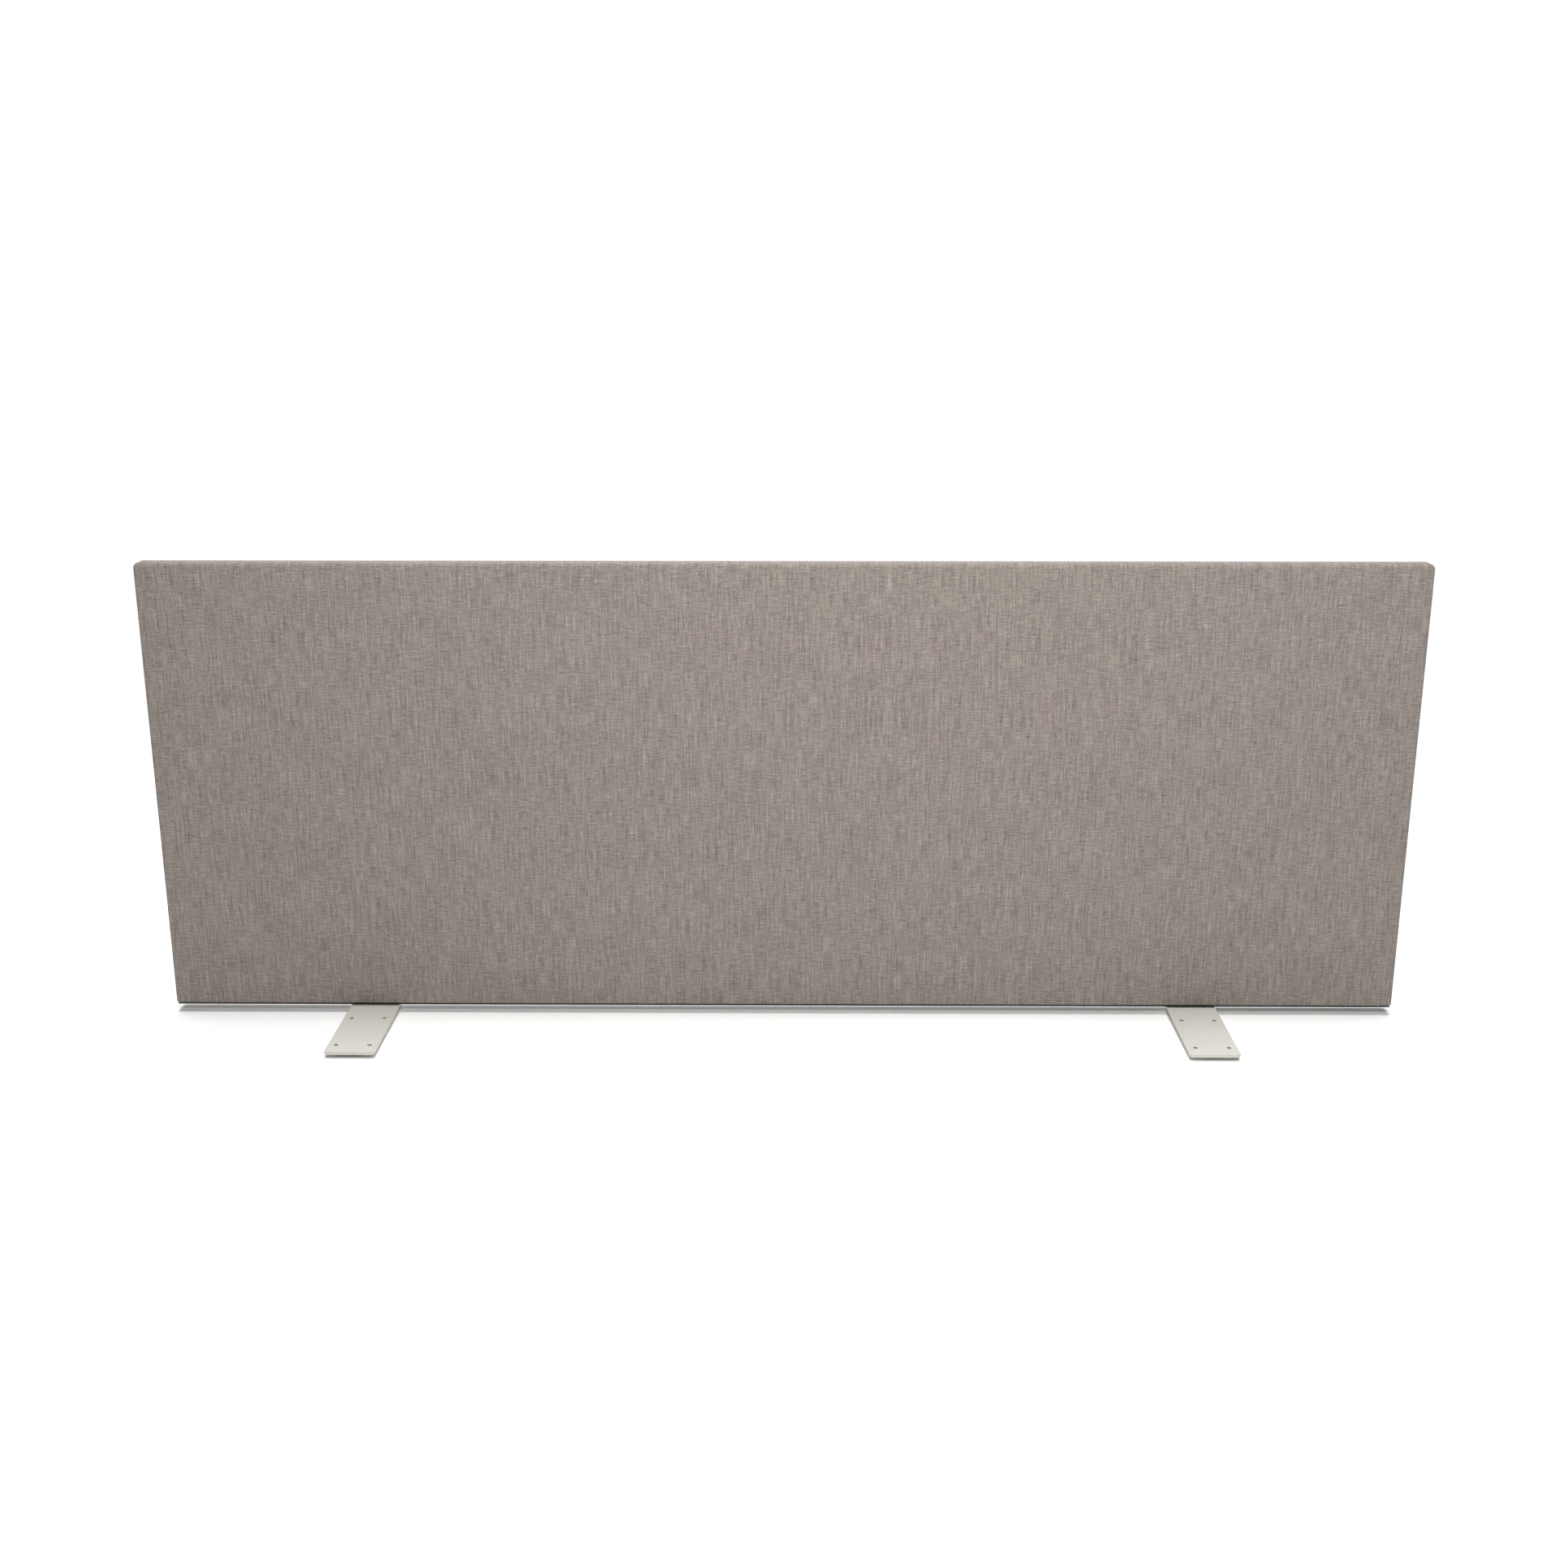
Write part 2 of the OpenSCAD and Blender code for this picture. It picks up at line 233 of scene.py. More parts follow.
def on_cloth(tree, along, up, wide, tall, layer, detail=0.0, roughness=0.5):
    """Noise over the cloth with features wide by tall, in millimetres. Each use has its own layer."""
    place = vector(tree, maths(tree, "DIVIDE", along, wide), maths(tree, "DIVIDE", up, tall), layer)
    return ripple(tree, place, 1.0, detail, roughness)


def linen_weave():
    tree, given, made = new_group(
        "linen_weave",
        [("Cloth", "Vector", None), ("Yarn Pitch", "Float", YARN_PITCH), ("Contrast", "Float", 1.0),
         ("Dark", "Color", (0.2, 0.17, 0.15, 1)), ("Light", "Color", (0.6, 0.55, 0.5, 1)),
         ("Cool", "Color", (1.0, 1.0, 1.0, 1))],
        [("Color", "Color"), ("Height", "Float"), ("Fuzz", "Float")])
    along, up, _ = split(tree, given.outputs["Cloth"])
    along = maths(tree, "MULTIPLY", along, 1000.0)            # millimetres on the cloth
    up = maths(tree, "MULTIPLY", up, 1000.0)
    pitch = given.outputs["Yarn Pitch"]

    # Yarns wander a little, and lie thicker and thinner.
    sway = on_cloth(tree, along, up, 9.0, 40.0, 1.0)
    dip = on_cloth(tree, along, up, 30.0, 7.0, 5.0)
    along = maths(tree, "MULTIPLY_ADD", sway, 1.6, along)
    up = maths(tree, "MULTIPLY_ADD", dip, 1.2, up)
    warp = maths(tree, "DIVIDE", along, pitch)
    weft = maths(tree, "DIVIDE", up, pitch)
    warp_wave = maths(tree, "SINE", maths(tree, "MULTIPLY", warp, math.pi))
    weft_wave = maths(tree, "SINE", maths(tree, "MULTIPLY", weft, math.pi))
    chequer = maths(tree, "MULTIPLY", warp_wave, weft_wave)
    warp_on_top = remap(tree, chequer, -0.2, 0.2, smooth=True)

    # Each yarn's tone drifts along it.
    warp_yarn = maths(tree, "MULTIPLY", maths(tree, "FLOOR", warp), YARN_APART)
    weft_yarn = maths(tree, "MULTIPLY", maths(tree, "FLOOR", weft), YARN_APART)
    warp_tone = on_cloth(tree, warp_yarn, up, 1.0, 24.0, 20.0, 2.0, 0.6)
    weft_tone = on_cloth(tree, along, weft_yarn, 11.0, 1.0, 40.0, 2.0, 0.6)
    yarn = maths(tree, "ADD", maths(tree, "MULTIPLY", warp_tone, warp_on_top),
                 maths(tree, "MULTIPLY", weft_tone, maths(tree, "SUBTRACT", 1.0, warp_on_top)))

    # What shows from a step away: lines up the warp, dashes along the weft, flecks and soft clouds.
    line = on_cloth(tree, along, up, 1.9, 24.0, 60.0, 1.0)
    long_line = on_cloth(tree, along, up, 2.4, 85.0, 70.0, 1.0)
    dash = on_cloth(tree, along, up, 17.0, 1.6, 80.0, 1.0)
    thick_place = on_cloth(tree, along, up, 5.0, 1.5, 90.0)
    fleck = on_cloth(tree, along, up, 1.7, 1.7, 100.0, 1.0)
    cloud = on_cloth(tree, along, up, 36.0, 45.0, 120.0, 2.0)
    slubs = remap(tree, thick_place, 0.63, 0.80, 0.0, 0.28)
    bright_lines = remap(tree, line, 0.58, 0.8, 0.0, 0.1)
    tone = maths(tree, "ADD", slubs, bright_lines)
    for mask, weight in ((yarn, 0.95), (line, 0.68), (long_line, 0.48),
                         (dash, 0.72), (fleck, 0.75), (cloud, 0.14)):
        tone = maths(tree, "MULTIPLY_ADD", maths(tree, "SUBTRACT", mask, 0.5), weight, tone)
    tone = maths(tree, "MULTIPLY_ADD", tone, given.outputs["Contrast"], 0.5, clamp=True)
    colour = blended(tree, tone, given.outputs["Dark"], given.outputs["Light"])

    # Some of the fibres are a cooler grey, in soft patches. Cool is what their tone is multiplied by.
    grey = on_cloth(tree, along, up, 75.0, 85.0, 140.0, 2.5)
    colour = blended(tree, remap(tree, grey, 0.49, 0.65), colour,
                     blended(tree, 1.0, colour, given.outputs["Cool"], "MULTIPLY"))

    # Painted shade: between the yarns, where the cloth lies deep, its colour is darkened.
    round_yarns = maths(tree, "POWER", maths(tree, "ABSOLUTE", chequer), 0.6)
    gap_shade = remap(tree, round_yarns, 0.0, 0.35, 0.79, 1.0)
    colour = blended(tree, 1.0, colour, vector(tree, gap_shade, gap_shade, gap_shade), "MULTIPLY")
    crown = maths(tree, "POWER", maths(tree, "ABSOLUTE", chequer), 0.35)
    height = maths(tree, "MULTIPLY_ADD", line, 0.5, maths(tree, "MULTIPLY_ADD", dash, 0.3, crown))
    tree.links.new(colour, made.inputs["Color"])
    tree.links.new(height, made.inputs["Height"])
    tree.links.new(fleck, made.inputs["Fuzz"])
    return tree


LINEN = linen_weave()
print("weave group", len(LINEN.nodes), "nodes")

# %% [markdown]
# ## The cover's material
#
# The dark and light ends are a deep and a pale taupe fibre, and every yarn lies between them. Such a
# cloth has no gloss to speak of: it is rough, rougher where fibres stand up, with a trace of sheen.
# The weave's height feeds a Bump node, so that light grazes the yarns.

# %% Cover cloth
def cover_cloth():
    material, tree, shader = new_material("cover_cloth")
    cloth = tree.nodes.new("ShaderNodeUVMap")
    cloth.uv_map = "cloth"
    weave = use_group(tree, LINEN, Cloth=cloth.outputs["UV"], Yarn_Pitch=YARN_PITCH, Contrast=0.9,
                      Dark=(0.0965, 0.0853, 0.0768, 1), Light=(0.390, 0.3485, 0.311, 1),
                      Cool=(1.002, 0.965, 1.018, 1))
    tree.links.new(weave.outputs["Color"], shader.inputs["Base Color"])
    tree.links.new(remap(tree, weave.outputs["Fuzz"], 0.3, 0.7, 0.82, 0.98), shader.inputs["Roughness"])
    bump(tree, shader, weave.outputs["Height"], 0.2 * MM, 0.5)
    shader.inputs["Specular IOR Level"].default_value = 0.25
    shader.inputs["Sheen Weight"].default_value = 0.08
    shader.inputs["Sheen Roughness"].default_value = 0.45
    return material


CLOTH = cover_cloth()
print("cover material", CLOTH.name)

# %% [markdown]
# ## The wrapped shell
#
# The cover and the fleece under it have one shape: a box with two round top corners and a soft edge
# all round. A cube is the natural start. Its two top corners are bevelled first, then the outlines
# of both faces, and the bottom is left open. Level and upright cuts then give the flat faces enough
# points to bend.

# %% Shell helpers
ON_PLANE = 1e-7                           # points closer than this to a cut lie on it
CORNER_STEPS, EDGE_STEPS = 10, 6          # flat strips in a round corner and in a soft edge
LOOKS_DOWN = -0.9                         # a face whose normal's Z is under this is the foot
BOX_EDGE = 1.0                            # radians; only the box's own edges turn by more than this


def bevel(bm, edges, offset, segments, **limits):
    return bmesh.ops.bevel(bm, geom=edges, offset=offset, offset_type="OFFSET", segments=segments,
                           profile=0.5, affect="EDGES", material=-1, **limits)


def cut(bm, place, normal, **sides):
    bmesh.ops.bisect_plane(bm, geom=[*bm.verts, *bm.edges, *bm.faces], dist=ON_PLANE,
                           plane_co=place, plane_no=normal, **sides)


def cut_grid(bm, places, heights):
    """Cuts the whole mesh upright at each place along X, then level at each height."""
    for x in places:
        cut(bm, (x, 0, 0), (1, 0, 0))
    for z in heights:
        cut(bm, (0, 0, z), (0, 0, 1))


def spread(low, high, step):
    """Evenly spread places between two ends, about a step apart, without the ends."""
    count = max(1, round((high - low) / step))
    return [low + (high - low) * i / count for i in range(1, count)]


def plain_box(low, high):
    """A box between two opposite corners, as a bmesh."""
    bm = bmesh.new()
    bmesh.ops.create_cube(bm, size=1)
    bmesh.ops.scale(bm, vec=high - low, verts=bm.verts)
    bmesh.ops.translate(bm, vec=(low + high) / 2, verts=bm.verts)
    return bm


def wrapped_shell(low, high, corner, edge, step):
    """A box open at its foot, with round top corners and soft edges, as a bmesh."""
    size, middle = high - low, (low + high) / 2
    bm = plain_box(low, high)
    foot = [f for f in bm.faces if f.normal.z < LOOKS_DOWN]
    bmesh.ops.delete(bm, geom=foot, context="FACES")
    top = [e for e in bm.edges if all(v.co.z > middle.z for v in e.verts)
           and abs(e.verts[0].co.y - e.verts[1].co.y) > size.y / 2]
    bevel(bm, top, corner, CORNER_STEPS)
    outline = [e for e in bm.edges if len(e.link_faces) == 2 and e.calc_face_angle() > BOX_EDGE]
    bevel(bm, outline, edge, EDGE_STEPS)
    cut_grid(bm, spread(low.x + corner, high.x - corner, step), spread(low.z, high.z - corner, step))
    return bm


def open_edges(bm, test):
    return [e for e in bm.edges if len(e.link_faces) == 1 and all(test(v.co) for v in e.verts)]


def turn_in(bm, edges, centre, spans, steps):
    """Turns an open edge of the cloth in towards a centre, without moving what lies at the centre.

    spans are the edge's distances from the centre along X, Y and Z, or 0 where it keeps its place.
    Each step is a distance inwards and a shift, both measured from where the edge started.
    Returns the new open edges.
    """
    done, shifted = 0.0, Vector()
    for inwards, shift in steps:
        made = bmesh.ops.extrude_edge_only(bm, edges=edges)["geom"]
        verts = [g for g in made if isinstance(g, bmesh.types.BMVert)]
        edges = [g for g in made if isinstance(g, bmesh.types.BMEdge) and set(g.verts) <= set(verts)]
        shrink = [(span - inwards) / (span - done) if span else 1 for span in spans]
        bmesh.ops.translate(bm, vec=-centre, verts=verts)
        bmesh.ops.scale(bm, vec=shrink, verts=verts)
        bmesh.ops.translate(bm, vec=centre + shift - shifted, verts=verts)
        done, shifted = inwards, shift
    return edges


def finished(bm, name):
    """Turns a bmesh into a smooth object at the origin, with its faces outwards."""
    bmesh.ops.remove_doubles(bm, verts=bm.verts, dist=SAME)
    bmesh.ops.recalc_face_normals(bm, faces=bm.faces)
    for face in bm.faces:
        face.smooth = True
    mesh = bpy.data.meshes.new(name)
    bm.to_mesh(mesh)
    bm.free()
    piece = bpy.data.objects.new(name, mesh)
    bpy.context.scene.collection.objects.link(piece)
    return piece


print("a soft edge has", EDGE_STEPS, "strips, a top corner", CORNER_STEPS)

# %% [markdown]
# ## Cover
#
# The cover is two sheets. The front one is pulled over the sides and the top and meets the back one
# near the back edge, where both are turned in along a seam. At the foot each sheet is turned round
# the rail's thin outer wall and up into a groove, where a flat strip holds it. Both sheets are cut
# from the same shell, so they fit, and Solidify gives them the cloth's thickness afterwards.

# %% Cover sheets
CORNER = 6.5 * MM                         # radius of the top corners, as on the solids
EDGE = 4.5 * MM                           # radius of the soft edge
CLOTH_T = 0.8 * MM
STEP = 11 * MM                            # distance between the cloth's points
FOLD = 1.0 * MM                           # radius of the folds at the hem
HEM_UP = 4.5 * MM                         # how far the hem goes up its groove
HEM_SPAN = 745 * MM                       # the hem is turned up between the rail's two ends
SEAM_R = 0.9 * MM                         # radius of the fold at the seam
SEAM_GAP = 0.05 * MM                      # between the seam's plane and each sheet
SEAM_DEEP = 1.8 * MM                      # how far the lap goes in

back_low, back_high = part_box("cover_back")
SEAM_Y = panel_high.y
shell_low = Vector((panel_low.x, panel_low.y, panel_low.z + FOLD))
shell_high = Vector((panel_high.x, back_high.y, panel_high.z))
HALF_W = shell_high.x
HALF_T = shell_high.y
QUARTER = [math.radians(a) for a in (22.5, 45, 67.5, 90)]


def under(radius, direction):
    """Steps of a quarter turn inwards, round an edge."""
    return [(radius * (1 - math.cos(a)), direction * radius * math.sin(a)) for a in QUARTER]


def turn_hem(bm, foot, centre, reach):
    """Turns the foot under, and its long run on and up into the groove."""
    down, up = Vector((0, 0, -1)), Vector((0, 0, 1))
    foot = turn_in(bm, foot, centre, (HALF_W, reach, 0), under(FOLD, down))
    run = [e for e in foot if all(abs(v.co.x) < HEM_SPAN for v in e.verts)]
    rise = [(FOLD + FOLD * math.sin(a), up * FOLD * (1 - math.cos(a))) for a in QUARTER]
    steps = [(FOLD, Vector()), *rise, (2 * FOLD, up * (FOLD + HEM_UP))]
    turn_in(bm, run, centre, (0, reach - FOLD, 0), steps)


def cover_sheet(name, front):
    """Half of the cover: the front sheet has the sides and the top with it, up to the seam."""
    bm = wrapped_shell(shell_low, shell_high, CORNER, EDGE, STEP)
    side = 1 if front else -1
    seam_start = SEAM_Y - side * (SEAM_R + SEAM_GAP)
    centre = Vector((0, seam_start, shell_low.z))
    cut(bm, centre, (0, side, 0), clear_outer=True)
    foot = open_edges(bm, lambda co: co.z < shell_low.z + SAME)
    turn_hem(bm, foot, centre, HALF_T + side * seam_start)
    seam = open_edges(bm, lambda co: abs(co.y - seam_start) < SAME and co.z > shell_low.z - SAME)
    lap = [*under(SEAM_R, Vector((0, side, 0))), (SEAM_DEEP, Vector((0, side * SEAM_R, 0)))]
    turn_in(bm, seam, centre, (HALF_W, 0, shell_high.z - shell_low.z), lap)
    return finished(bm, name)


cover_front = cover_sheet("cover_front_sheet", True)
cover_back = cover_sheet("cover_back_sheet", False)
print("cover faces", len(cover_front.data.polygons), len(cover_back.data.polygons))

# %% [markdown]
# ## Tension
#
# The cloth is pulled tight over the fleece, which pushes back. Along the edges the cloth presses the
# fleece flat; away from them it stands a little proud. A cloth simulation finds that shape: the
# edges are pinned, a light pressure stands for the fleece, and the movement is capped at what 2 mm of
# fleece can give. A trace of slow unevenness is added, because no hand pulls a cover quite evenly.

# %% Simulate the tension
PROUD = 0.7 * MM                          # the most that the fleece pushes the cloth out
UNEVEN = 0.12 * MM
UNEVEN_X, UNEVEN_Z = 7, 9                 # how quickly the unevenness changes, to the metre
SHEETS_APART = 3                          # so that the two sheets are uneven in their own ways
FADE = 0.3                                # the unevenness fades in over this share of PROUD
FRAMES = 20                               # how long the cloth is given to swell


def pushed_out(piece):
    """How far each point of the sheet moves when the fleece pushes it, as metres along Y."""
    rest = np.array([v.co for v in piece.data.vertices])
    face = abs(rest[:, 1]) > HALF_T - SAME
    held = piece.vertex_groups.new(name="held")
    held.add([int(i) for i in np.flatnonzero(~face)], 1.0, "REPLACE")
    cloth = piece.modifiers.new("tension", "CLOTH")
    cloth.settings.vertex_group_mass = "held"
    cloth.settings.quality = 5
    cloth.settings.mass = 0.4
    cloth.settings.tension_stiffness = 40
    cloth.settings.compression_stiffness = 40
    cloth.settings.bending_stiffness = 8
    cloth.settings.use_pressure = True
    cloth.settings.uniform_pressure_force = 4
    cloth.settings.effector_weights.gravity = 0
    scene = bpy.context.scene
    for step in range(1, FRAMES + 1):
        scene.frame_set(step)
    settled = piece.evaluated_get(bpy.context.evaluated_depsgraph_get()).data
    moved = np.array([v.co for v in settled.vertices])[:, 1] - rest[:, 1]
    piece.modifiers.remove(cloth)
    piece.vertex_groups.remove(held)
    scene.frame_set(1)
    return moved


def tighten(piece):
    side = math.copysign(1, sum(v.co.y for v in piece.data.vertices))
    moved = abs(pushed_out(piece))
    for vertex, push in zip(piece.data.vertices, moved):
        proud = PROUD * math.tanh(push / PROUD)
        wave = noise.noise(Vector((vertex.co.x * UNEVEN_X, side * SHEETS_APART, vertex.co.z * UNEVEN_Z)))
        vertex.co.y += side * (proud + UNEVEN * wave * min(1, proud / (FADE * PROUD)))
    print(piece.name, "stands proud by up to", round(1000 * max(moved), 2), "mm before the cap")


tighten(cover_front)
tighten(cover_back)

# %% [markdown]
# ## The flat cloth
#
# A weave has to follow the cloth, round edges and all, so each point gets its place on the flat
# cloth, in metres, as a UV map. On a face that is simply its place. Past the face the cloth goes
# round the soft edge and across the panel's thickness, so the distance travelled is added outwards.
# Near the top corners the upright threads are dragged a little out of line, where the cover was
# pulled over both edges at once.

# %% Cloth coordinates
DRAG = 0.035                              # slope of the dragged threads at a corner
DRAG_REACH = 90 * MM                      # how far from the corner the drag fades
BACK_ASIDE = 2                            # metres from the front sheet's map to the back one's


def place_on_cloth(co, back):
    """Where a point of the shell lies on the flat cloth."""
    hub = Vector((math.copysign(min(abs(co.x), HALF_W - CORNER), co.x),
                  min(co.z, shell_high.z - CORNER)))
    out = Vector((co.x, co.z)) - hub
    away = out.length
    depth = HALF_T + (co.y if not back else -co.y)           # distance behind the sheet's own face
    past = away - (CORNER - EDGE)                            # distance beyond the flat of the face
    if past <= 0 or away < SAME:
        flat = Vector((co.x, co.z))
        flat.y -= max(0.0, depth - EDGE) if co.z < shell_low.z else 0.0
    else:
        if depth < EDGE:
            travelled = EDGE * math.atan2(past, EDGE - depth)
        else:
            travelled = EDGE * math.pi / 2 + (depth - EDGE) + (EDGE - past)
        flat = hub + out.normalized() * (CORNER - EDGE + travelled)
    corner = Vector((HALF_W - abs(co.x), shell_high.z - co.z))
    below, beside = corner.y / DRAG_REACH, corner.x / (2 * DRAG_REACH)
    drag = DRAG * DRAG_REACH * math.exp(-below) * math.exp(-beside ** 2)
    flat.x -= math.copysign(drag, co.x) * min(1, abs(co.x) / DRAG_REACH)
    return (BACK_ASIDE - flat.x, flat.y) if back else flat


def lay_out_cloth(piece, back):
    layer = piece.data.uv_layers.new(name="cloth")
    place = [place_on_cloth(v.co, back) for v in piece.data.vertices]
    for loop in piece.data.loops:
        layer.data[loop.index].uv = place[loop.vertex_index]


def thicken(piece, thickness):
    """Gives a sheet its thickness, inwards from where its points lie."""
    solid = piece.modifiers.new("thickness", "SOLIDIFY")
    solid.thickness = thickness
    solid.offset = -1
    solid.use_even_offset = True


for piece, is_back in ((cover_front, False), (cover_back, True)):
    lay_out_cloth(piece, is_back)
    thicken(piece, CLOTH_T)
    piece.data.materials.append(CLOTH)
    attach(piece, "panel")

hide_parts("cover_front")
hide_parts("cover_back")

# %% [markdown]
# ## Surface groups for the other pieces
#
# The hard pieces share one group. A real coating is never one flat tone: it is a little uneven over
# a hand's width, has a fine grain that catches the light, and is rubbed along its edges. A second
# group lays fibres, for fleece, felt and board, and a third draws the grain of sawn timber.

# %% Coating group
def coating():
    tree, given, made = new_group(
        "coating",
        [("Place", "Vector", None), ("Tone", "Color", (0.5, 0.5, 0.5, 1)),
         ("Uneven Tone", "Color", (0.4, 0.4, 0.4, 1)), ("Rubbed Tone", "Color", (0.6, 0.6, 0.6, 1)),
         ("Rim", "Float", 0.0), ("Grain Scale", "Float", 900.0),
         ("Smoothest", "Float", 0.35), ("Roughest", "Float", 0.5)],
        [("Color", "Color"), ("Roughness", "Float"), ("Height", "Float")])
    place = given.outputs["Place"]
    uneven = ripple(tree, place, 14.0, 3.0, 0.6)
    smear = ripple(tree, place, 70.0, 2.0, 0.6)
    grain = ripple(tree, place, given.outputs["Grain Scale"], 2.0, 0.6)
    colour = blended(tree, remap(tree, uneven, 0.35, 0.7),
                     given.outputs["Tone"], given.outputs["Uneven Tone"])
    rubbed = maths(tree, "MULTIPLY", given.outputs["Rim"], remap(tree, smear, 0.4, 0.65, 0.15, 0.85))
    colour = blended(tree, rubbed, colour, given.outputs["Rubbed Tone"])
    wear = maths(tree, "MULTIPLY_ADD", smear, 0.5, maths(tree, "MULTIPLY", grain, 0.5))
    roughness = remap(tree, wear, 0.35, 0.65, given.outputs["Smoothest"], given.outputs["Roughest"])
    tree.links.new(colour, made.inputs["Color"])
    tree.links.new(roughness, made.inputs["Roughness"])
    tree.links.new(grain, made.inputs["Height"])
    return tree


FIBRE_LONG = 9.0                          # a fibre is this many times as long as it is wide


def fibres():
    tree, given, made = new_group(
        "fibres",
        [("Place", "Vector", None), ("Tone", "Color", (0.8, 0.8, 0.8, 1)),
         ("Dark Fibre", "Color", (0.3, 0.3, 0.3, 1)), ("Fibre Size", "Float", 0.001),
         ("Share", "Float", 0.5)],
        [("Color", "Color"), ("Height", "Float")])
    place = split(tree, given.outputs["Place"])
    size = given.outputs["Fibre Size"]
    turned = []
    for long_axis in range(3):
        lengths = [FIBRE_LONG if i == long_axis else 1.0 for i in range(3)]
        reach = [maths(tree, "DIVIDE", axis, maths(tree, "MULTIPLY", size, length))
                 for axis, length in zip(place, lengths)]
        turned.append(ripple(tree, vector(tree, *reach), 1.0, 2.0, 0.55))

    # The highest of the three lies on top. Past an edge it is a dark fibre; a greater share of
    # dark fibres lowers that edge.
    mat = maths(tree, "MAXIMUM", maths(tree, "MAXIMUM", turned[0], turned[1]), turned[2])
    edge = maths(tree, "SUBTRACT", 0.78, maths(tree, "MULTIPLY", given.outputs["Share"], 0.3))
    dark = remap(tree, mat, edge, maths(tree, "ADD", edge, 0.1))
    colour = blended(tree, dark, given.outputs["Tone"], given.outputs["Dark Fibre"])
    tree.links.new(colour, made.inputs["Color"])
    tree.links.new(mat, made.inputs["Height"])
    return tree


def timber_grain():
    tree, given, made = new_group(
        "timber_grain",
        [("Place", "Vector", None), ("Early Wood", "Color", (0.7, 0.5, 0.3, 1)),
         ("Late Wood", "Color", (0.5, 0.3, 0.15, 1))],
        [("Color", "Color"), ("Height", "Float")])
    along, across, deep = split(tree, given.outputs["Place"])
    bend = ripple(tree, vector(tree, maths(tree, "MULTIPLY", along, 2.0), across, deep), 9.0, 2.0)
    ring = maths(tree, "MULTIPLY_ADD", bend, 9.0, maths(tree, "MULTIPLY", across, 420.0))
    ring = remap(tree, maths(tree, "SINE", ring), -0.4, 1.0, smooth=True)
    long_pores = [maths(tree, "MULTIPLY", axis, each_metre)
                  for axis, each_metre in ((along, 60.0), (across, 1800.0), (deep, 1800.0))]
    pore = ripple(tree, vector(tree, *long_pores), 1.0, 2.0)
    late = maths(tree, "MULTIPLY_ADD", pore, 0.35, maths(tree, "MULTIPLY", ring, 0.65), clamp=True)
    colour = blended(tree, late, given.outputs["Early Wood"], given.outputs["Late Wood"])
    tree.links.new(colour, made.inputs["Color"])
    tree.links.new(pore, made.inputs["Height"])
    return tree


COATING, FIBRES, TIMBER = coating(), fibres(), timber_grain()
print("groups", [g.name for g in bpy.data.node_groups])

# %% [markdown]
# ## Finishes
#
# Each finish is a few values in one of those groups. Powder coat is a plastic skin over steel, so it
# isn't metallic, and its grain is the fine orange peel that such paint has. Black anodising and black
# oxide are thin enough for the metal to shine through. An extruded rail is drawn through a die, which
# leaves faint lines along it, so its grain is stretched along X.

# %% Hard finishes
def object_place(tree, stretch=(1, 1, 1)):
    place = tree.nodes.new("ShaderNodeTexCoord").outputs["Object"]
    if stretch == (1, 1, 1):
        return place
    return vector(tree, *(maths(tree, "MULTIPLY", axis, scale)
                          for axis, scale in zip(split(tree, place), stretch)))


def coated(name, tone, uneven, rubbed, rough, grain, relief, metallic=0.0, coat=0.0, stretch=(1, 1, 1)):
    """A hard finish from the coating group. The rim attribute marks a piece's softened edges.

    rough holds the lowest and the highest roughness, grain is in features to the metre, and relief
    is the grain's height.
    """
    material, tree, shader = new_material(name)
    rim = tree.nodes.new("ShaderNodeAttribute")
    rim.attribute_name = "rim"
    skin = use_group(tree, COATING, Place=object_place(tree, stretch), Tone=(*tone, 1),
                     Uneven_Tone=(*uneven, 1), Rubbed_Tone=(*rubbed, 1), Rim=rim.outputs["Fac"],
                     Grain_Scale=grain, Smoothest=rough[0], Roughest=rough[1])
    tree.links.new(skin.outputs["Color"], shader.inputs["Base Color"])
    tree.links.new(skin.outputs["Roughness"], shader.inputs["Roughness"])
    bump(tree, shader, skin.outputs["Height"], relief)
    shader.inputs["Metallic"].default_value = metallic
    shader.inputs["Coat Weight"].default_value = coat
    return material


POWDER_COAT = coated("powder_coat_off_white", tone=(0.56, 0.55, 0.51), uneven=(0.53, 0.52, 0.48),
                     rubbed=(0.62, 0.61, 0.58), rough=(0.36, 0.52), grain=1100.0, relief=0.03 * MM,
                     coat=0.1)
ANODISED = coated("black_anodised_aluminium", tone=(0.022, 0.022, 0.024), uneven=(0.030, 0.030, 0.031),
                  rubbed=(0.11, 0.11, 0.11), rough=(0.30, 0.46), grain=2200.0, relief=0.008 * MM,
                  metallic=0.55, stretch=(0.02, 1, 1))
NYLON = coated("black_nylon", tone=(0.020, 0.020, 0.021), uneven=(0.027, 0.026, 0.026),
               rubbed=(0.06, 0.06, 0.06), rough=(0.48, 0.66), grain=1600.0, relief=0.03 * MM)
HEM_PLASTIC = coated("hem_strip_plastic", tone=(0.035, 0.033, 0.030), uneven=(0.045, 0.042, 0.039),
                     rubbed=(0.09, 0.085, 0.08), rough=(0.42, 0.6), grain=700.0, relief=0.02 * MM,
                     stretch=(0.1, 1, 1))
ZINC = coated("zinc_plate", tone=(0.60, 0.61, 0.60), uneven=(0.48, 0.50, 0.49),
              rubbed=(0.74, 0.74, 0.72), rough=(0.26, 0.44), grain=1500.0, relief=0.01 * MM,
              metallic=1.0)
ZINC_NUT = coated("zinc_nut", tone=(0.56, 0.56, 0.52), uneven=(0.44, 0.44, 0.42),
                  rubbed=(0.72, 0.71, 0.68), rough=(0.32, 0.52), grain=1300.0, relief=0.015 * MM,
                  metallic=1.0)
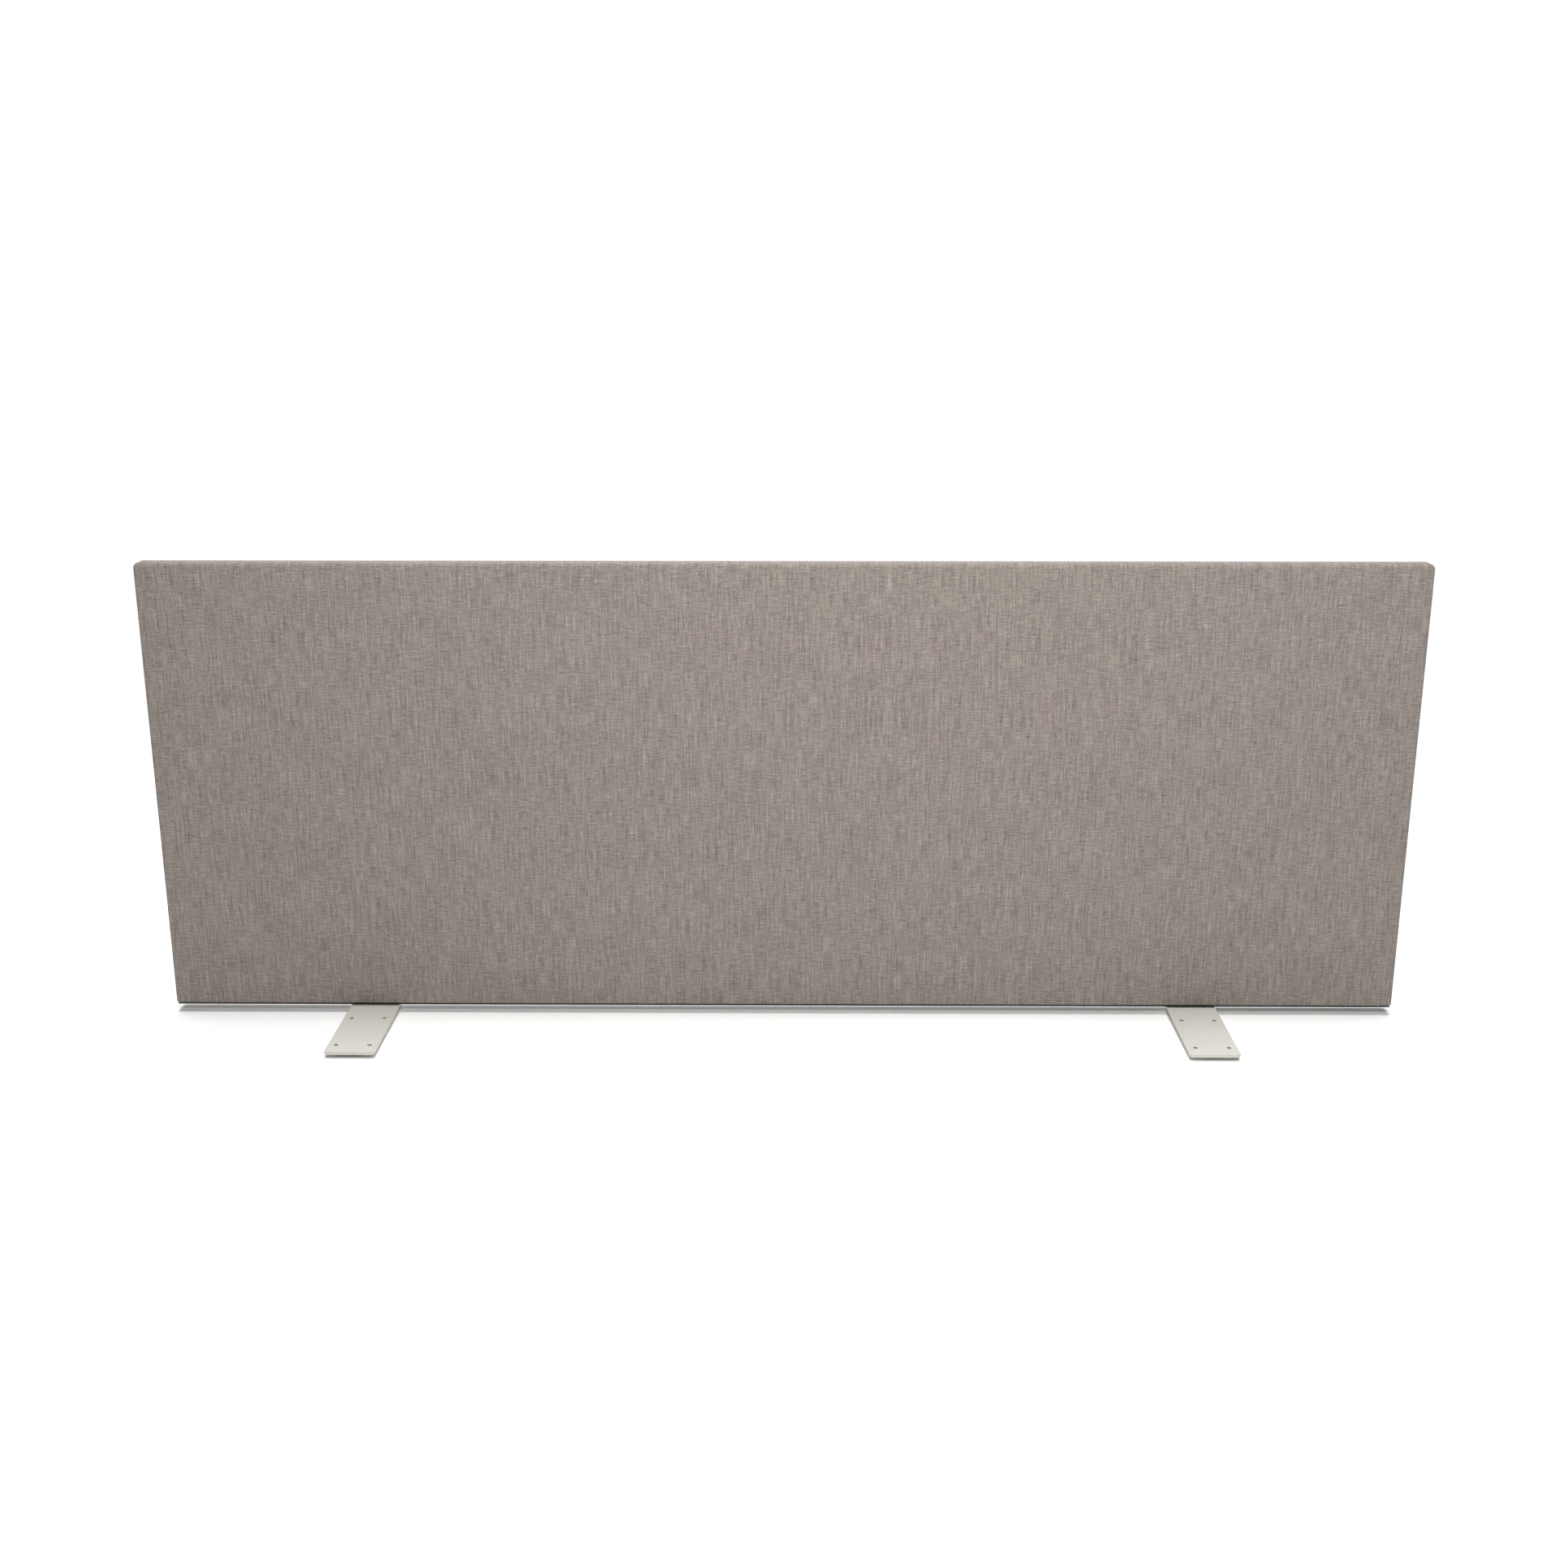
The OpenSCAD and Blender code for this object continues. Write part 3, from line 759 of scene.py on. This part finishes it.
BLACK_OXIDE = coated("black_oxide_bolt", tone=(0.045, 0.044, 0.046), uneven=(0.065, 0.062, 0.062),
                     rubbed=(0.20, 0.20, 0.20), rough=(0.28, 0.44), grain=1700.0, relief=0.01 * MM,
                     metallic=0.85)
HARD = (POWDER_COAT, ANODISED, NYLON, HEM_PLASTIC, ZINC, ZINC_NUT, BLACK_OXIDE)
print("hard finishes", [m.name for m in HARD])

# %% Fibre and timber finishes
def fibrous(name, tone, fibre, size, share, relief, sheen=0.0):
    """A mat of pale fibres in which a share of darker ones shows."""
    material, tree, shader = new_material(name)
    mat = use_group(tree, FIBRES, Place=object_place(tree), Tone=(*tone, 1), Dark_Fibre=(*fibre, 1),
                    Fibre_Size=size, Share=share)
    tree.links.new(mat.outputs["Color"], shader.inputs["Base Color"])
    bump(tree, shader, mat.outputs["Height"], relief)
    shader.inputs["Roughness"].default_value = 0.95
    shader.inputs["Specular IOR Level"].default_value = 0.2
    shader.inputs["Sheen Weight"].default_value = sheen
    return material


def sawn(name, early, late, long_axis):
    """Timber whose grain runs along one axis, X or Z."""
    material, tree, shader = new_material(name)
    place = split(tree, object_place(tree))
    order = [place[long_axis], place[2 - long_axis], place[1]]
    grain = use_group(tree, TIMBER, Place=vector(tree, *order), Early_Wood=(*early, 1),
                      Late_Wood=(*late, 1))
    tree.links.new(grain.outputs["Color"], shader.inputs["Base Color"])
    bump(tree, shader, grain.outputs["Height"], 0.08 * MM)
    shader.inputs["Roughness"].default_value = 0.62
    return material


FLEECE = fibrous("white_fleece", tone=(0.82, 0.81, 0.77), fibre=(0.66, 0.65, 0.61),
                 size=0.5 * MM, share=0.7, relief=0.5 * MM, sheen=0.3)
FELT = fibrous("grey_felt", tone=(0.36, 0.38, 0.40), fibre=(0.13, 0.14, 0.17),
               size=0.7 * MM, share=0.6, relief=0.6 * MM, sheen=0.2)
FIBREBOARD = fibrous("fibreboard", tone=(0.40, 0.27, 0.155), fibre=(0.25, 0.155, 0.08),
                     size=0.6 * MM, share=0.6, relief=0.06 * MM)

ALONG_X, ALONG_Z = 0, 2
SOFTWOOD = {"early": (0.66, 0.47, 0.27), "late": (0.46, 0.28, 0.13)}
SOFTWOOD_UP = sawn("softwood_upright", long_axis=ALONG_Z, **SOFTWOOD)
SOFTWOOD_LEVEL = sawn("softwood_level", long_axis=ALONG_X, **SOFTWOOD)
DOWEL_WOOD = sawn("beech_dowel", early=(0.72, 0.54, 0.36), late=(0.58, 0.40, 0.24), long_axis=ALONG_Z)
WOODEN = (FIBREBOARD, SOFTWOOD_UP, SOFTWOOD_LEVEL, DOWEL_WOOD)
print("soft and wooden finishes", [m.name for m in (FLEECE, FELT, *WOODEN)])

# %% [markdown]
# ## Pieces kept from the CAD
#
# The boards, the timber, the dowels and the hidden screws have their whole shape in CAD, so they stay
# and only get their finish. A CAD mesh is never changed: its material slot is set instead.

# %% Finishes on the CAD pieces
KEPT = {
    "board_front": FIBREBOARD, "board_back": FIBREBOARD, "top_rail": SOFTWOOD_LEVEL,
    "left_stile": SOFTWOOD_UP, "right_stile": SOFTWOOD_UP, "middle_stile": SOFTWOOD_UP,
    "frame_dowels": DOWEL_WOOD, "stile_screws": ZINC, "front_rail_screws": ZINC, "back_rail_screws": ZINC,
}
for node, material in KEPT.items():
    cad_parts[node].material_slots[0].material = material
print("finished in place:", ", ".join(KEPT))

# %% [markdown]
# ## Hard pieces with softened edges
#
# No real edge is perfectly sharp: paint rounds it, a die leaves a radius, a press rolls it over. That
# thin line of light is what makes metal look like metal. So each hard piece that can be seen is a
# copy of its CAD mesh: its loose triangles are merged, flat faces joined, and every sharp edge is
# bevelled. The bevel's own faces are marked with an attribute, rim, for the coating to rub. Last,
# Weighted Normal lets the large flat faces decide the shading, so that the curve stays in the bevel.

# %% Softened copies
WELD = 2e-6                               # the solid's triangles are merged at this distance
FLAT = math.radians(0.5)                  # faces that turn less than this are one flat face
SHARP = math.radians(32)                  # edges sharper than this are rounded
CREASE = math.radians(60)                 # edges still sharper than this afterwards shade as creases
RIM_STEPS = 2                             # flat strips in a rounded edge
LARGEST_FACES = 100                       # Weighted Normal's weight, where 50 is neutral


def softened(node, name, width, material, body):
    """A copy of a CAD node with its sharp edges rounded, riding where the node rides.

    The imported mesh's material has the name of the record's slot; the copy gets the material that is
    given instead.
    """
    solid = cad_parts[node]
    bm = bmesh.new()
    bm.from_mesh(solid.data)
    bmesh.ops.remove_doubles(bm, verts=bm.verts, dist=WELD)
    bmesh.ops.dissolve_limit(bm, angle_limit=FLAT, verts=bm.verts, edges=bm.edges)
    sharp = [e for e in bm.edges if len(e.link_faces) == 2 and e.calc_face_angle() > SHARP]
    rim = bm.faces.layers.float.new("rim")
    made = bevel(bm, sharp, width, RIM_STEPS, clamp_overlap=True)
    for face in made["faces"]:
        face[rim] = 1.0
    bmesh.ops.triangulate(bm, faces=[f for f in bm.faces if len(f.verts) > 4])
    for edge in bm.edges:
        edge.smooth = not edge.is_manifold or edge.calc_face_angle() < CREASE
    piece = finished(bm, name)
    level = piece.modifiers.new("flat_faces", "WEIGHTED_NORMAL")
    level.mode, level.weight, level.keep_sharp = "FACE_AREA", LARGEST_FACES, True
    piece.data.materials.append(material)
    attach(piece, body)
    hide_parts(node)
    return piece


softened("bottom_rail", "bottom_rail_extrusion", 0.2 * MM, ANODISED, "panel")
for where in ("front", "back"):
    softened(where + "_hem_strip", where + "_hem_strip_plastic", 0.3 * MM, HEM_PLASTIC, "panel")
for hand in ("left", "right"):
    softened(hand + "_end_cap", hand + "_end_cap_moulding", 0.4 * MM, NYLON, "panel")
    softened(hand + "_bracket", hand + "_bracket_plate", 0.18 * MM, POWDER_COAT, hand + "_bracket")
    softened(hand + "_slot_nuts", hand + "_slot_nut_blanks", 0.3 * MM, ZINC_NUT, hand + "_slider")
    softened(hand + "_washers", hand + "_washer_discs", 0.25 * MM, ZINC, hand + "_slider")
    softened(hand + "_bolts", hand + "_button_bolts", 0.12 * MM, BLACK_OXIDE, hand + "_slider")
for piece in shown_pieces():
    print(piece.name, len(piece.data.polygons))

# %% [markdown]
# ## Fleece and core
#
# Under the cloth lies a 2 mm fleece, cut as the cover is, and between the boards two slabs of pressed
# felt deaden the sound. Nobody sees them while the panel is whole, but they are soft, so they are
# made as soft things: the fleece as a wrapped sheet with thickness, and each slab with rounded
# edges and a surface that isn't quite flat.

# %% Fleece
FLEECE_T = 1.9 * MM                       # a 2 mm fleece, with a little clearance
FLEECE_STEP = 4 * STEP                    # distance between the fleece's points
WRAP = 1.0 * MM                           # the cloth's room outside the fleece
shoulder_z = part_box("fleece_front")[0].z


def fleece_layer(name, node, front):
    inset = Vector((WRAP, WRAP, 0))
    low = Vector((shell_low.x, shell_low.y, shoulder_z)) + inset
    high = shell_high - inset - Vector((0, 0, WRAP))
    bm = wrapped_shell(low, high, CORNER - WRAP, EDGE - WRAP, FLEECE_STEP)
    side = 1 if front else -1
    cut(bm, (0, SEAM_Y - side * SEAM_GAP, 0), (0, side, 0), clear_outer=True)
    piece = finished(bm, name)
    thicken(piece, FLEECE_T)
    piece.data.materials.append(FLEECE)
    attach(piece, "panel")
    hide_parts(node)
    print(name, len(piece.data.polygons), "faces")


fleece_layer("fleece_front_layer", "fleece_front", True)
fleece_layer("fleece_back_layer", "fleece_back", False)

# %% Felt core
CORE_EDGE = 1.5 * MM                      # radius of the slab's edges
CORE_EDGE_STEPS = 3
CORE_STEP = 20 * MM                       # distance between the slab's points
CORE_ROOM = 0.3 * MM                      # left free all round, inside the frame
LUMP = 0.25 * MM                          # how far a lump stands out
LUMPS = 30                                # lumps to the metre


def felt_slab(name, node):
    low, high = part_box(node)
    low, high = low + Vector((CORE_ROOM,) * 3), high - Vector((CORE_ROOM,) * 3)
    bm = plain_box(low, high)
    bevel(bm, bm.edges[:], CORE_EDGE, CORE_EDGE_STEPS)
    cut_grid(bm, spread(low.x, high.x, CORE_STEP), spread(low.z, high.z, CORE_STEP))
    for vert in bm.verts:
        vert.co.y += LUMP * noise.noise(vert.co * LUMPS) * math.copysign(1, vert.co.y)
    piece = finished(bm, name)
    piece.data.materials.append(FELT)
    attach(piece, "panel")
    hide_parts(node)
    return piece


for hand in ("left", "right"):
    slab = felt_slab(hand + "_felt_slab", "core_" + hand)
    print(slab.name, len(slab.data.polygons), "faces")

# %% [markdown]
# ## Studio
#
# A wide pale floor runs off to the same white as the sky around it. Three lights do the rest. A soft
# sun from straight above whitens the floor and hardly touches the upright cloth. A broad soft box
# over the front lights the panel's upper part most and leaves its foot and lower corners darker, as
# ceiling light does behind a desk. A weaker one lifts the back. The sky shows white, and shines white
# in gloss, but lights matt surfaces much less than that, or it would wash all that out.

# %% Floor and light
SKY_SHOWN = 1.05                          # the sky's strength where it is seen or mirrored
SKY_LIGHT = 0.06                          # and where it lights a matt surface
FLOOR_HALF = 60                           # metres from the middle to the floor's edge
FLOOR_GAP = 0.4 * MM                      # between the floor and the lowest piece
SUN_SPREAD = math.radians(30)             # a wide sun casts soft shadows


def pale_floor():
    material, tree, shader = new_material("studio_floor")
    place = tree.nodes.new("ShaderNodeTexCoord").outputs["Object"]
    tone = remap(tree, ripple(tree, place, 1.3, 3.0), 0.3, 0.7, 0.945, 0.955)
    tree.links.new(vector(tree, tone, tone, tone), shader.inputs["Base Color"])
    shader.inputs["Roughness"].default_value = 0.9
    bm = bmesh.new()
    bmesh.ops.create_grid(bm, x_segments=4, y_segments=4, size=FLOOR_HALF)
    bmesh.ops.translate(bm, vec=(0, 0, cad_low.z - FLOOR_GAP), verts=bm.verts)
    floor = finished(bm, "studio_floor")
    floor.data.materials.append(material)


def lamp(name, kind, power, place, aim, colour=(1, 1, 1)):
    """A light turned towards a point. The camera doesn't see it."""
    light = bpy.data.lights.new(name, kind)
    light.energy, light.color = power, colour
    holder = bpy.data.objects.new(name, light)
    holder.location = place
    holder.rotation_mode = "QUATERNION"
    holder.rotation_quaternion = (Vector(aim) - Vector(place)).to_track_quat("-Z", "Y")
    holder.visible_camera = False
    bpy.context.scene.collection.objects.link(holder)
    return light


def soft_box(name, power, place, aim, size, colour):
    light = lamp(name, "AREA", power, place, aim, colour)
    light.shape, light.size, light.size_y = "RECTANGLE", *size


def pale_sky():
    world = bpy.data.worlds.new("studio")
    world.use_nodes = True
    tree, sky = world.node_tree, world.node_tree.nodes["Background"]
    matt = tree.nodes.new("ShaderNodeLightPath").outputs["Is Diffuse Ray"]
    strength = maths(tree, "MULTIPLY_ADD", matt, SKY_LIGHT - SKY_SHOWN, SKY_SHOWN)
    tree.links.new(strength, sky.inputs["Strength"])
    sky.inputs["Color"].default_value = (1, 1, 1, 1)
    bpy.context.scene.world = world


pale_floor()
pale_sky()
sun = lamp("sun", "SUN", power=3.05, place=(0, 0.1, 3), aim=(0, 0, 0))
sun.angle = SUN_SPREAD
soft_box("overhead", power=19.6, place=(0.2, -1.2, 1.4), aim=(0.2, 0, 0.4),
         size=(1.3, 0.4), colour=(1.0, 0.985, 0.955))
soft_box("back_fill", power=14, place=(-0.3, 1.4, 1.2), aim=(0, 0, 0.3),
         size=(1.6, 0.8), colour=(1.0, 0.99, 0.97))
bpy.context.scene.view_settings.view_transform = "Standard"
